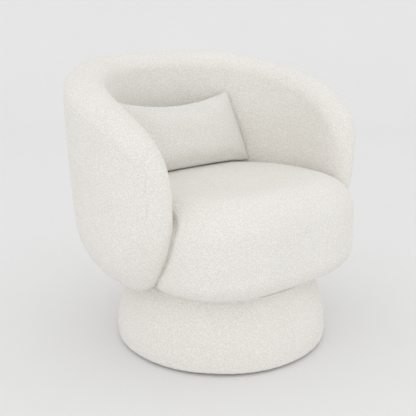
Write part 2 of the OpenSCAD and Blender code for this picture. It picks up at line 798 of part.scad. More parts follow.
// The outer panel reaches down to the floor board behind the arms, and over the posts in front
module tub_outer_panel() color("peru") at_axis()
    intersection() {
        tub_band(panel_out, panel_in, floor_z, tub_h, post_end_deg);
        across() {
            side_view(clip_r, crest_pad + 2 * soft_gap, nose_low_pad + rib_t, nose_pad + rib_t);
            intersection() {
                side_view(clip_r, crest_pad + 2 * soft_gap, 0, nose_pad + rib_t);
                translate([-well_y / 2, 0]) square([2 * tub_r, tub_h]);
            }
        }
    }
module tub_inner_panel() color("peru") at_axis()
    intersection() {
        tub_band(lining_out, lining_in, tack_rail_z, tub_h, post_end_deg);
        side_clip(clip_r, crest_pad + 2 * soft_gap, nose_low_pad + rib_t, nose_pad + rib_t);
    }

// Soft layers of the tub
module padding_body()
    difference() {
        shell_body(foam_out, foam_out, foam_out, foam_out, foam_out);
        frame_hollow();
        well();
    }
module tub_wadding() color("mistyrose") at_axis()
    intersection() {
        padding_body();
        outside_zone();
    }
// The inside is padded by three slabs, one behind and one for each arm
foam_split_deg = 62;
module back_sector(d = 0) {
    way = 2 * tub_r * [sin(foam_split_deg), cos(foam_split_deg)];
    start = [0, -d / sin(foam_split_deg)];
    translate([0, 0, edge_z - over])
        linear_extrude(tub_h)
            polygon([
                start, start + way, [way[0], 2 * tub_r], [-way[0], 2 * tub_r],
                start + [-way[0], way[1]]
            ]);
}
module tub_foam_back() color("moccasin") at_axis()
    difference() {
        intersection() {
            padding_body();
            back_sector();
        }
        outside_zone();
    }
module arm_foam(side) color("moccasin") at_axis()
    difference() {
        intersection() {
            padding_body();
            translate([side > 0 ? 0 : -2 * tub_r, -tub_r, 0]) cube(2 * tub_r);
        }
        back_sector(soft_gap);
        outside_zone();
        translate([-tub_r, -well_y - soft_gap, 0]) cube([2 * tub_r, tub_r, floor_z]);
    }
module tub_foam_left() arm_foam(-1);
module tub_foam_right() arm_foam(1);
module cover_body()
    difference() {
        shell_body();
        shell_body(cloth_t, cloth_t, cloth_t, cloth_t, cloth_t);
        well();
    }
module tub_outer_cover() color("linen") at_axis()
    intersection() {
        cover_body();
        outside_zone();
    }
module tub_inner_cover() color("antiquewhite") at_axis()
    difference() {
        cover_body();
        outside_zone();
    }
module tub_dust_cover() color("dimgray") at_axis()
    difference() {
        translate([0, 0, floor_z - dust_t])
            linear_extrude(dust_t)
                intersection() {
                    circle(r = wall_rad(edge_z) - turn_under - cloth_t);
                    union() {
                        frame_outline(hem_in + soft_gap);
                        translate([-tub_r, -well_y + soft_gap]) square([2 * tub_r, tub_r]);
                    }
                }
        translate([0, 0, floor_z - dust_t - over])
            cylinder(r = top_opening_r, h = dust_t + 2 * over);
    }

// Seat
module seat_frame() color("burlywood") at_axis()
    translate([0, 0, floor_top])
        linear_extrude(frame_h)
            difference() {
                frame_outline();
                frame_outline(frame_t);
            }
module seat_cross_rail() color("tan") at_axis()
    translate([0, 0, floor_top])
        linear_extrude(frame_h - frame_t)
            intersection() {
                square([2 * frame_half_w, frame_t], center = true);
                frame_outline(frame_t + run_gap);
            }
strap_long_n = 4;
strap_cross_n = 4;
module seat_straps_long() color("sienna") at_axis()
    translate([0, 0, frame_top])
        for (i = [0:strap_long_n - 1])
            linear_extrude(strap_t)
                intersection() {
                    translate([(i - (strap_long_n - 1) / 2) * 1.6 * strap_w - strap_w / 2, -tub_r])
                        square([strap_w, 2 * tub_r]);
                    frame_outline(frame_t / 4);
                }
module seat_straps_cross() color("sienna") at_axis()
    translate([0, 0, frame_top + strap_t])
        for (i = [0:strap_cross_n - 1])
            linear_extrude(strap_t)
                intersection() {
                    translate([-tub_r, (i - (strap_cross_n - 1) / 2) * 1.7 * strap_w - strap_w / 2])
                        square([2 * tub_r, strap_w]);
                    frame_outline(frame_t / 4);
                }

// Seat block: rings that round the lower edge, climb the front and round over to the crown
seat_back = tub_r - wall_t;
seat_n = 32;
seat_low_n = 3;
seat_top_n = 3;
seat_inner_shares = [0.5];
// The seam's outline has its own number of points, so that none falls on the seat's rings
seam_n = 40;
function seat_top_at(x, y) =
    seat_h - tan(seat_pitch_deg) * y
    + seat_crown * (1 - (x * x + y * y) / (seat_front * seat_front));
function front_share(t) = pow(max(0, -sin(t)), 0.6);
function seat_round(t) = seat_round_back + (seat_round_top - seat_round_back) * front_share(t);
function seat_xy(t, d, n) =
    let (c = cos(t), s = sin(t), e = s < 0 ? 2 / n : 1)
    [(seat_half_w - d) * sign(c) * pow(abs(c), e),
     ((s < 0 ? seat_front : seat_back) - d) * sign(s) * pow(abs(s), e)];
// One ring of points: inset d from the side, on the lower rounding, the side or the top
function low_ring(o, b) =
    [for (k = [0:seat_n - 1]) let (t = 360 * k / seat_n,
        p = seat_xy(t, o + (seat_round_low - o) * (1 - sin(b)), seat_pow))
        [p[0], p[1], edge_z + o + (seat_round_low - o) * (1 - cos(b))]];
function top_ring(o, b) =
    [for (k = [0:seat_n - 1]) let (t = 360 * k / seat_n,
        rt = seat_round(t) - o,
        p = seat_xy(t, o + rt * (1 - cos(b)), seat_pow))
        [p[0], p[1], seat_top_at(p[0], p[1]) - o - rt * (1 - sin(b))]];
function crown_ring(o, share) =
    [for (k = [0:seat_n - 1]) let (t = 360 * k / seat_n,
        edge = seat_xy(t, seat_round(t), seat_pow),
        soft = seat_xy(t, seat_round(t), 2.2),
        p = (edge * (1 - share) + soft * share) * (1 - share))
        [p[0], p[1], seat_top_at(p[0], p[1]) - o]];
module seat_body(o = 0) {
    rings = concat(
        [for (k = [0:seat_low_n]) low_ring(o, 90 * k / seat_low_n)],
        [for (k = [0:seat_top_n]) top_ring(o, 90 * k / seat_top_n)],
        [for (s = seat_inner_shares) crown_ring(o, s)]
    );
    m = seat_n;
    last = len(rings) - 1;
    points = concat(
        [[0, 0, edge_z + o]],
        [for (r = rings) each r],
        [[0, 0, seat_top_at(0, 0) - o]]
    );
    top = len(points) - 1;
    sides = [for (i = [0:last - 1]) for (k = [0:m - 1]) each [
        [1 + i * m + k, 1 + (i + 1) * m + k, 1 + (i + 1) * m + (k + 1) % m],
        [1 + i * m + k, 1 + (i + 1) * m + (k + 1) % m, 1 + i * m + (k + 1) % m]
    ]];
    bottom = [for (k = [0:m - 1]) [0, 1 + k, 1 + (k + 1) % m]];
    crown = [for (k = [0:m - 1]) [top, 1 + last * m + (k + 1) % m, 1 + last * m + k]];
    polyhedron(points, concat(bottom, sides, crown));
}
// Space of the wall, a little proud, that the seat is pressed against
module wall_room() shell_body(-soft_gap, -soft_gap, -soft_gap, -soft_gap, -soft_gap);
// Space of the frame under the foam
module frame_room(low_in) {
    translate([0, 0, floor_z - soft_gap])
        linear_extrude(strap_top - floor_z + 2 * soft_gap) frame_outline(-soft_gap);
    translate([0, 0, edge_z - over])
        linear_extrude(floor_z - edge_z + over) frame_outline(low_in);
    translate([-tub_r, -well_y, edge_z - over])
        cube([2 * tub_r, tub_r + well_y, strap_top + soft_gap - edge_z + over]);
}
module seat_foam() color("moccasin") at_axis()
    difference() {
        seat_body(foam_out);
        wall_room();
        frame_room(hem_in);
    }
module seat_skin()
    difference() {
        seat_body();
        seat_body(cloth_t);
        wall_room();
        frame_room(hem_in);
    }
// Everything that the top panel takes
module seam_prism()
    translate([0, 0, (floor_top + seat_h) / 2])
        linear_extrude(tub_h)
            polygon(squircle(
                seat_half_w - seat_seam_in,
                seat_front - seat_seam_in,
                seat_back + over,
                seam_n,
                seat_pow
            ));
module seat_top_cover() color("linen") at_axis()
    intersection() {
        seat_skin();
        seam_prism();
    }
module seat_band_cover() color("antiquewhite") at_axis()
    difference() {
        seat_skin();
        seam_prism();
    }

// Loose lumbar cushion, knife edged, leaning on the back
pillow_nx = 12;
pillow_nz = 8;
pillow_rest_gap = 2 * soft_gap;
pillow_low_z = seat_top_at(0, pillow_at) + pillow_rest_gap;
function pillow_bulge(a, b) = pow((1 - pow(abs(a), 2.4)) * (1 - pow(abs(b), 2.4)), 0.62);
function pillow_point(a, b, side, o) =
    let (
        half_w = (pillow_low_w + (pillow_top_w - pillow_low_w) * (b + 1) / 2 - o),
        half_h = pillow_h / 2 - o - (b > 0 ? pillow_droop * (1 - a * a) : 0)
    )
    [a * half_w, side * (pillow_t / 2 - o) * pillow_bulge(a, b), b * half_h];
function spread(k, n) = sin(90 * (2 * k / n - 1));
module pillow_body(o = 0) {
    nx = pillow_nx;
    nz = pillow_nz;
    row = nx + 1;
    sheet = row * (nz + 1);
    points = [for (side = [-1, 1]) for (j = [0:nz]) for (i = [0:nx])
        pillow_point(spread(i, nx), spread(j, nz), side, o)];
    // Both sheets share their border points, so the back sheet's border is read from the front
    edge = function(i, j) i == 0 || i == nx || j == 0 || j == nz;
    at = function(side, i, j) (side == 0 || edge(i, j) ? 0 : sheet) + j * row + i;
    // Each cell is split along the diagonal that points at the nearest corner
    lean = function(i, j) (i < nx / 2) == (j < nz / 2);
    cell = function(s, i, j) lean(i, j)
        ? [[at(s, i, j), at(s, i + 1, j + 1), at(s, i + 1, j)],
           [at(s, i, j), at(s, i, j + 1), at(s, i + 1, j + 1)]]
        : [[at(s, i, j), at(s, i, j + 1), at(s, i + 1, j)],
           [at(s, i + 1, j), at(s, i, j + 1), at(s, i + 1, j + 1)]];
    flip = function(t) [t[0], t[2], t[1]];
    faces = [for (s = [0, 1]) for (j = [0:nz - 1]) for (i = [0:nx - 1])
        for (t = cell(s, i, j)) s == 0 ? t : flip(t)];
    polyhedron(points, faces);
}
module pillow_place()
    at_axis() translate([0, pillow_at, pillow_low_z])
        rotate([-pillow_lean_deg, 0, 0]) translate([0, 0, pillow_h / 2]) children();
module pillow_skin(side)
    intersection() {
        difference() {
            pillow_body();
            pillow_body(cloth_t);
        }
        translate([-tub_r, side > 0 ? 0 : -pillow_t, -pillow_h])
            cube([2 * tub_r, pillow_t, 2 * pillow_h]);
    }
module cushion_insert() color("white") pillow_place() pillow_body(foam_out);
module cushion_front_cover() color("whitesmoke") pillow_place() pillow_skin(-1);
module cushion_back_cover() color("gainsboro") pillow_place() pillow_skin(1);

base_glides();
base_glide_nails();
base_bottom_board();
base_top_board();
base_rib(0);  // base_rib_1
base_rib(1);  // base_rib_2
base_rib(2);  // base_rib_3
base_rib(3);  // base_rib_4
base_rib(4);  // base_rib_5
base_rib(5);  // base_rib_6
base_screws();
base_hoop();
base_wadding();
base_cover();
base_dust_cover();
swivel_lower_plate();
swivel_lower_race();
swivel_sleeve();
swivel_bolts();
swivel_tee_nuts();
swivel_cage();
swivel_balls();
swivel_upper_race();
swivel_upper_plate();
swivel_screws();
tub_floor_board();
tub_low_rail();
tub_tack_rail();
tub_top_rail();
tub_rib(-3);  // tub_rib_1
tub_rib(-2);  // tub_rib_2
tub_rib(-1);  // tub_rib_3
tub_rib(0);  // tub_rib_4
tub_rib(1);  // tub_rib_5
tub_rib(2);  // tub_rib_6
tub_rib(3);  // tub_rib_7
tub_arm_post_left();
tub_arm_post_right();
tub_screws();
tub_outer_panel();
tub_inner_panel();
tub_wadding();
tub_foam_back();
tub_foam_left();
tub_foam_right();
tub_outer_cover();
tub_inner_cover();
tub_dust_cover();
seat_frame();
seat_cross_rail();
seat_straps_long();
seat_straps_cross();
seat_foam();
seat_top_cover();
seat_band_cover();
cushion_insert();
cushion_front_cover();
cushion_back_cover();
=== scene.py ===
"""Looks for the swivel tub chair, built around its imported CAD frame.

The covers and the cushion are modelled here and replace the soft nodes of the frame. The pieces
under them keep their CAD meshes and get materials. Lengths are in millimetres and points are
measured from the swivel axis and the floor, until mesh_object turns them to metres in the frame.
"""

import json
import math
from itertools import product

import bpy
import numpy as np
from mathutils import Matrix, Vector
from mathutils.bvhtree import BVHTree
from mathutils.kdtree import KDTree


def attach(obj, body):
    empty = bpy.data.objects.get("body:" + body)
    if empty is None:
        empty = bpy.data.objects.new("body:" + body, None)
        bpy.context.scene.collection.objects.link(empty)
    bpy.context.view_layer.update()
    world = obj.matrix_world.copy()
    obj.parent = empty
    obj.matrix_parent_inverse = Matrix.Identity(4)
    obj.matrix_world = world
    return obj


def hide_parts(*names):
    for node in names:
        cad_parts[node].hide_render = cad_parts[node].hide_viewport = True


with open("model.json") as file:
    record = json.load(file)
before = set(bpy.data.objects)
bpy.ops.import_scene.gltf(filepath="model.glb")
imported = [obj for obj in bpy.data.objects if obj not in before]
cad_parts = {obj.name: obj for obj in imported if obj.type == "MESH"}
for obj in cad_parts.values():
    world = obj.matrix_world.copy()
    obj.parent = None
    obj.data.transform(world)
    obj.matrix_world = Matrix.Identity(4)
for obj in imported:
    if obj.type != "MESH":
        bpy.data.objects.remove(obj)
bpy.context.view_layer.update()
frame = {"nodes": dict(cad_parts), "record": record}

MM = 0.001
TINY = 1e-9  # keeps a division by a length from failing
APART = 1e-6  # points closer than this along a line count as one
QUARTER = math.pi / 2.0
AXIS_Y = -45.5  # place of the swivel axis in the frame

# Tub shell. Angles are in degrees from the back's middle, shares are of the wrap.
TUB_R = 390.0  # outside radius at the crest
WAIST_R = 376.0  # outside radius above the tuck
WALL = 105.0
WRAP = 120.7  # angle of the arms' tips
TIP_SHARE = 0.9999  # share at which the last column stands
TUB_H = 720.0
TIP_H = 418.0  # height of the arms' tips
EDGE_Z = 194.5  # lower edge
CREST_POW_U = 2.2
CREST_POW_H = 2.8
NOSE_SHARE = 0.8  # share at which the lower edge starts to climb
NOSE_POW = 1.9
THIN_POW = 12.0  # how late the wall thins toward the tips
RISE = 46.0  # height of the crest's round
TUCK_RISE = 133.0
TUCK_IN = 88.0
TUCK_POW = 1.62
TUCK_Z = EDGE_Z + TUCK_RISE

# The most that the parts of the wall's section take of its height or thickness near the tips
RISE_SHARE = 0.45
TUCK_SHARE = 0.5
TUCK_WALL_SHARE = 0.84
LIP_SHARE = 0.2
LIP_WALL_SHARE = 0.16
LIP_EDGE_SHARE = 0.45

# Seams: the tub's lies SEAM_IN inside the shell's edge and ends before the tips
SEAM_IN = 46.0
SEAM_WRAP = WRAP - math.degrees(SEAM_IN / TUB_R)
SEAM_DEPTH = 0.8
SEAM_WIDTH = 3.0

# Fuller stuffing along the crest: height, middle and half width in degrees of each swell
CROWN_SWELLS = ((6.0, 38.0, 21.0), (2.0, -30.0, 30.0))
CROWN_Z = 560.0
CROWN_FADE = 150.0

# Seat block
SEAT_HALF_W = 292.0
SEAT_FRONT = 299.0
SEAT_BACK = 284.0
SEAT_H = 420.0
SEAT_CROWN = 9.0
SEAT_PITCH = math.tan(math.radians(3.4))
SEAT_POW = 3.3  # squareness of the outline in front
MIDDLE_POW = 2.2  # squareness of the innermost ring
SEAT_SEAM = 46.0
SEAT_SEAM_SHARE = 0.8  # of the tub's seam's depth
SEAT_HEM = 30.0
SEAT_LUMP = 1.3
ROUND_TOP = 84.0
ROUND_BACK = 80.0
ROUND_LOW = 62.0
ROUND_POW = 0.6  # how the upper round passes from the back to the front
TOP_IN = ROUND_TOP + 24.0  # from this inset the top's rings shrink to the middle
TOP_SHARE = 0.985  # share of that shrinking at the last ring

# Drum base
DRUM_R = 280.0
DRUM_TOP_R = 236.0
DRUM_H = 178.0
DRUM_POW = 2.0
DRUM_FOOT_IN = 3.0
DRUM_FOOT_POW = 8
DRUM_Z = 6.0
DRUM_HOLE_R = 184.0
FOOT_ROUND = 7.0
SHOULDER_ROUND = 6.0
DRUM_HEM = (28.0, 18.0)  # insets of the rings turned in below the foot
LID_STEP = 6.0
DRUM_LUMP = 0.9

# Lumbar cushion
PILLOW_LOW_W = 230.0  # half widths
PILLOW_TOP_W = 190.0
PILLOW_H = 202.0
PILLOW_T = 92.0
PILLOW_LEAN = 16.0
PILLOW_AT = 148.0
PILLOW_GAP = 0.6  # over the seat, before the cushion settles
PILLOW_DROOP = 27.0
BUNCH_SHARE = 0.92  # how much closer together the points stand at the edges
BULGE_POW = 0.62
EDGE_POW = 2.4
LOW_EDGE_POW = 4.5
FLAT_SHARE = 0.88  # thickness before the cloth solver swells the cushion
EDGE_SWELL = 1.5  # the most that the solver moves a point at the edge
MIDDLE_SWELL = 8.0  # and how much more in the middle
PRESS = 11.0  # how far the seat presses the underside in
PRESS_REACH = 55.0
LEAST_GAP = 0.5
SWELL_FRAMES = 20
CLOTH = {
    "use_pressure": True,
    "uniform_pressure_force": 4.0,
    "quality": 6,
    "mass": 0.4,
    "tension_stiffness": 12.0,
    "compression_stiffness": 12.0,
    "bending_stiffness": 0.4,
    "shrink_min": -0.015,
}

# Pile and padding
PILE_ROOM = 0.6  # how far each surface lies inside the solid's, to leave room for the pile
LUMP_SIZE = 95.0
NUB_SIZE = 9.0
NUB_SHARE = 0.6  # the fine nubs have the rest
FINE_NUB_SIZE = 5.5
NUB_SHIFT = 500.0  # keeps the two sizes of nubs from lining up
LEAST_TALL = 40.0  # sections lower than this have less relief
SEARCH_REACHES = 4.0  # how many reaches away a crease is looked for

# Numbers of points
COARSE = 1
ARC_POINTS = 40
SIDE_POINTS = 30
LOWER_POINTS = 12
LIP_POINTS = 14
PANEL_POINTS = 120
ANGLE_POINTS = 3000
SEAM_POINTS = 1200
RING_POINTS = 4001
SMALL_ARC = 10
TUB_COLS = 230 // COARSE
TIP_COLS = 60 // COARSE
PANEL_ROWS = 140 // COARSE
LOOP_ROWS = 240 // COARSE
SEAT_COLS = 420 // COARSE
HEM_RINGS = 8
LOW_RINGS = 18
BAND_RINGS = 30 // COARSE
EDGE_RINGS = 34 // COARSE
TOP_RINGS = 30 // COARSE
MIDDLE_RINGS = 56 // COARSE
DRUM_COLS = 400 // COARSE
DRUM_ROWS = 60 // COARSE
PILLOW_COLS = 76 // COARSE
PILLOW_ROWS = 38 // COARSE

# Powers that draw points together toward a seam or a tip
TIP_CLOSER = 4
EDGE_CLOSER = 1.5
TOP_CLOSER = 1.3

# Stage, in metres
PAPER_VIEW = math.radians(39.0)
PAPER_HALF_W = 9.0
PAPER_NEAR = -6.0
PAPER_FAR = 3.0
PAPER_SWEEP = 3.0
PAPER_TOP = 9.0
SKY_STRENGTH = 0.985
CAMERA_FROM = (-1.1324, -1.3873, 0.8480)
CAMERA_AT = (-0.0277, -0.0231, 0.3380)
FOCAL_PX = 700.0
IMAGE_PX = 416.0
SENSOR = 36.0


# Noise, lines and grids
def smooth(t):
    """An even passage from 0 to 1."""
    t = np.clip(t, 0.0, 1.0)
    return t * t * (3.0 - 2.0 * t)


class Lattice:
    """Seeded value noise in three dimensions, from -1 to 1, that repeats after CELLS cells."""

    CELLS = 32

    def __init__(self, seed):
        random = np.random.RandomState(seed)
        self.values = random.rand(self.CELLS, self.CELLS, self.CELLS) * 2.0 - 1.0

    def at(self, p, size):
        """The noise at each point, for cells of one size."""
        q = np.asarray(p) / size
        cell = np.floor(q).astype(int)
        f = smooth(q - cell)
        out = np.zeros(len(q))
        for corner in product((0, 1), repeat=3):
            share = np.ones(len(q))
            for axis, far in enumerate(corner):
                share = share * (f[:, axis] if far else 1.0 - f[:, axis])
            i, j, k = ((cell + corner) % self.CELLS).T
            out += share * self.values[i, j, k]
        return out


LUMPS = Lattice(11)
NUBS = Lattice(23)


def pile(p, lump=1.0, nub=0.55):
    """Height of the padding's unevenness and of the pile over a smooth surface."""
    coarse, fine = NUBS.at(p, NUB_SIZE), NUBS.at(p + NUB_SHIFT, FINE_NUB_SIZE)
    nubs = NUB_SHARE * coarse + (1.0 - NUB_SHARE) * fine
    return lump * LUMPS.at(p, LUMP_SIZE) + nub * nubs


def seam_dip(distance):
    """How far a surface dips at a distance from its seam."""
    return SEAM_DEPTH * np.exp(-((distance / SEAM_WIDTH) ** 2))


def length_along(line):
    """Distance of each point of a line from its start, along it."""
    return np.concatenate([[0.0], np.cumsum(np.linalg.norm(np.diff(line, axis=0), axis=1))])


def points_at(line, at):
    """The points of a line at distances from its start."""
    s = length_along(line)
    return np.column_stack([np.interp(at, s, values) for values in line.T])


def even_line(line):
    """The same line with its points about a millimetre apart."""
    whole = length_along(line)[-1]
    return points_at(line, np.linspace(0.0, whole, int(whole)))


def distance_to(line, points):
    """Distance of each point from the nearest point of a closely spaced line."""
    tree = KDTree(len(line))
    for i, p in enumerate(line):
        tree.insert(p, i)
    tree.balance()
    return np.array([tree.find(p)[2] for p in points])


def arc(start, end, n, middle, size):
    """n points of an ellipse's arc between two angles, as [radius, height]."""
    a = np.linspace(start, end, n)
    return np.column_stack([middle[0] + size[0] * np.cos(a), middle[1] + size[1] * np.sin(a)])


def grid_faces(rows, cols, close=False, flip=False):
    """Quads of a rows x cols grid; close joins the last column to the first."""
    out = []
    last = cols if close else cols - 1
    for i in range(rows - 1):
        for k in range(last):
            a, b = i * cols + k, i * cols + (k + 1) % cols
            quad = (a, b, b + cols, a + cols)
            out.append(quad[::-1] if flip else quad)
    return out


def add_fan(points, faces, run, close=False, flip=False):
    """Adds a point in the middle of a run of points, and the triangles between it and them."""
    hub = len(points)
    for a, b in zip(run, run[1:] + run[:1] if close else run[1:]):
        faces.append((b, a, hub) if flip else (a, b, hub))
    return np.vstack([points, points[run].mean(axis=0)])


def ring_normals(grid):
    """Outward unit normals of a grid of closed rings, listed up the side and in over the top."""
    up = np.gradient(grid, axis=0)
    on = (np.roll(grid, -1, axis=1) - np.roll(grid, 1, axis=1)) / 2.0
    normal = np.cross(on, up)
    return normal / np.maximum(TINY, np.linalg.norm(normal, axis=2, keepdims=True))


# Objects
def add_object(name, data):
    """A new object in the scene."""
    obj = bpy.data.objects.new(name, data)
    bpy.context.scene.collection.objects.link(obj)
    return obj


def shade_smooth(mesh):
    """Shades every face of a mesh smoothly."""
    mesh.polygons.foreach_set("use_smooth", [True] * len(mesh.polygons))


def mesh_object(name, points, faces):
    """A mesh object from points in millimetres about the swivel axis."""
    mesh = bpy.data.meshes.new(name)
    co = np.asarray(points, float) * MM
    co[:, 1] += AXIS_Y * MM
    mesh.from_pydata([tuple(c) for c in co], [], faces)
    mesh.validate()
    shade_smooth(mesh)
    mesh.update()
    return add_object(name, mesh)


def points_of(mesh):
    """The points of a mesh, in metres."""
    return np.array([v.co for v in mesh.vertices])


def move_points(mesh, co):
    """Gives a mesh new points, in metres."""
    mesh.vertices.foreach_set("co", np.ravel(co))
    mesh.update()


# Tub
def ramp(z):
    """Outside radius of the tub at a height."""
    t = np.clip((z - TUCK_Z) / (TUB_H - RISE - TUCK_Z), 0.0, 1.0)
    return WAIST_R + (TUB_R - WAIST_R) * np.sin(t * QUARTER)


def top_at(u, inset):
    """Height of the crest at share u, taken in by an inset."""
    level = (1.0 - u**CREST_POW_U) ** (1.0 / CREST_POW_H)
    return TIP_H + (TUB_H - inset - TIP_H) * level


def low_at(u, inset):
    """Height of the lower edge at share u, taken in by an inset."""
    t = max(0.0, (u - NOSE_SHARE) / (1.0 - NOSE_SHARE))
    climb = 1.0 - (1.0 - t**NOSE_POW) ** (1.0 / NOSE_POW)
    return EDGE_Z + inset + (TIP_H - EDGE_Z - inset) * climb


def section(u):
    """The wall's outline at share u: (outer, rest), each an array of [radius, height].

    outer climbs the outside from the lower edge to the crest's top; rest goes on down the
    inside and back under the lower edge to where outer starts.
    """
    thin = math.sqrt(1.0 - u**THIN_POW)
    top, low = top_at(u, PILE_ROOM), low_at(u, PILE_ROOM)
    height = top - low
    rise = min(RISE, RISE_SHARE * height)
    crest_z = top - rise
    tuck_z = min(low + TUCK_RISE - PILE_ROOM, low + TUCK_SHARE * height)
    half = (WALL / 2.0 - PILE_ROOM) * thin
    cut = min(TUCK_IN, TUCK_WALL_SHARE * 2.0 * half)
    lip = min(LIP_WALL_SHARE * 2.0 * half, LIP_SHARE * height)
    edge = min(lip, LIP_EDGE_SHARE * (2.0 * half - cut))
    tuck_r = ramp(tuck_z) - WALL / 2.0
    crest = (ramp(crest_z) - WALL / 2.0, crest_z), (half, rise)

    a = np.linspace(QUARTER, 0.0, ARC_POINTS)
    out_share = np.cos(a) ** (2.0 / TUCK_POW)
    down_share = np.sin(a) ** (2.0 / TUCK_POW)
    tuck = np.column_stack([tuck_r + half - cut * (1.0 - out_share),
                            tuck_z - (tuck_z - low) * down_share])
    z = np.linspace(tuck_z, crest_z, SIDE_POINTS)[1:-1]
    side_r = ramp(z) - WALL / 2.0
    lower = np.column_stack([np.full(LOWER_POINTS, tuck_r - half),
                             np.linspace(tuck_z, low + lip, LOWER_POINTS)])
    a = np.linspace(0.0, QUARTER, LIP_POINTS)[1:]
    turn = np.column_stack([tuck_r - half + edge * (1.0 - np.cos(a)), low + lip - lip * np.sin(a)])
    outer = np.vstack([
        tuck,
        np.column_stack([side_r + half, z]),
        arc(0.0, QUARTER, ARC_POINTS, *crest),
    ])
    rest = np.vstack([
        outer[-1:],
        arc(QUARTER, math.pi, ARC_POINTS, *crest)[1:],
        np.column_stack([side_r - half, z])[::-1],
        lower,
        turn,
        tuck[:1],
    ])
    return outer, rest


def split_section(psi):
    """The section at an angle, cut at the seams: the outer panel's part and the rest.

    Past the seam's end both cuts stand at the tips' height, so the panel's part is one point.
    """
    outer, rest = section(psi / WRAP)
    u = min(1.0, psi / SEAM_WRAP)
    s = length_along(outer)
    s_top, s_low = np.interp((top_at(u, SEAM_IN), low_at(u, SEAM_IN)), outer[:, 1], s)
    panel = points_at(outer, np.linspace(s_low, s_top, PANEL_POINTS))
    up = outer[s > s_top + APART]
    down = outer[s < s_low - APART]
    return panel, np.vstack([panel[-1:], up, rest[1:-1], down, panel[:1]])


def around(line, psi):
    """Turns a section of [radius, height] to an angle in degrees from the back's middle."""
    r, z = line[:, 0], line[:, 1]
    turn = math.radians(psi)
    return np.column_stack([r * math.sin(turn), r * math.cos(turn), z])


def both_sides(psi):
    """Angles from 0 on, with the same ones on the other side before them."""
    return np.concatenate([-psi[:0:-1], psi])


def even_angles(start, end, inset, n):
    """n angles between two, evenly spread along the outline's upper and lower edge.

    The outline is the shell's own where inset is 0, and else the seam's, which ends at end.
    """
    rest = (1.0 - np.linspace(0.0, 1.0, ANGLE_POINTS)) ** TIP_CLOSER
    psi = start + (end - start) * (1.0 - rest)
    u = psi / (end if inset else WRAP)
    turn = np.diff(np.radians(psi)) * TUB_R
    top = np.diff([top_at(x, inset) for x in u])
    low = np.diff([low_at(x, inset) for x in u])
    thin = np.diff(WALL * np.sqrt(1.0 - (psi / WRAP) ** THIN_POW))
    steps = np.hypot(turn, top) + np.hypot(turn, low) + np.abs(thin)
    s = np.concatenate([[0.0], np.cumsum(steps)])
    return np.interp(np.linspace(0.0, s[-1], n), s, psi)


def seam_shares(n, tight):
    """n shares from 0 to 1, closer together at both ends, where the seams are."""
    t = np.linspace(0.0, 1.0, n)
    return (1.0 - tight) * (0.5 - 0.5 * np.cos(math.pi * t)) + tight * t


def tub_seam():
    """The seam between the two covers: over the crest, then back along the lower edge."""
    psi = both_sides(SEAM_WRAP * np.sin(np.linspace(0.0, QUARTER, SEAM_POINTS)))
    ends = np.array([around(split_section(abs(x))[0][[0, -1]], x) for x in psi])
    return even_line(np.vstack([ends[:, 1], ends[::-1, 0]]))


def tub_grid(psi, part, shares):
    """One part of the section at every angle: 0 for the outer panel, 1 for the rest."""
    grid = []
    for x in psi:
        line = split_section(abs(x))[part]
        grid.append(around(points_at(line, shares * length_along(line)[-1]), x))
    return np.array(grid)


def section_normals(grid, psi):
    """Outward normals of a grid of sections, each within the plane of its own section."""
    r = np.hypot(grid[:, :, 0], grid[:, :, 1])
    dr, dz = np.gradient(r, axis=1), np.gradient(grid[:, :, 2], axis=1)
    size = np.maximum(TINY, np.hypot(dr, dz))
    out, up = dz / size, -dr / size
    turn = np.radians(psi)[:, None]
    return np.stack([out * np.sin(turn), out * np.cos(turn), up], axis=2)


def crown(p):
    """How much higher the stuffing stands along the crest: most at the sitter's left shoulder."""
    psi = np.degrees(np.arctan2(p[:, 0], p[:, 1]))
    lift = sum(h * np.exp(-(((psi - middle) / wide) ** 2)) for h, middle, wide in CROWN_SWELLS)
    return lift * smooth((p[:, 2] - CROWN_Z) / CROWN_FADE)


def pad_tub(grid, psi, seam):
    """Lays the pile, the seam's dip and the fuller crest on a grid of sections."""
    flat = grid.reshape(-1, 3)
    raised = crown(flat).reshape(grid.shape[:2])
    lift = (pile(flat) - seam_dip(distance_to(seam, flat))).reshape(grid.shape[:2])
    tall = np.clip(np.ptp(grid[:, :, 2], axis=1) / LEAST_TALL, 0.0, 1.0)
    grid = grid + section_normals(grid, psi) * (lift * tall[:, None])[:, :, None]
    grid[:, :, 2] += raised
    return grid


def weld(panel, loop, tip):
    """Brings the two covers' edges together along the seam, and the loop's own past its end.

    tip is how many columns of the loop stand past the seam's end on each side.
    """
    middle = slice(tip, len(loop) - tip)
    for mine, other in ((-1, 0), (0, -1)):
        joined = (panel[:, mine] + loop[middle, other]) / 2.0
        panel[:, mine] = joined
        loop[middle, other] = joined
    for ends in (slice(0, tip), slice(len(loop) - tip, None)):
        joined = (loop[ends, 0] + loop[ends, -1]) / 2.0
        loop[ends, 0] = joined
        loop[ends, -1] = joined
    for end, at in ((0, tip), (-1, len(loop) - tip - 1)):
        point = panel[end].mean(axis=0)
        panel[end] = point
        loop[at, 0] = point
        loop[at, -1] = point


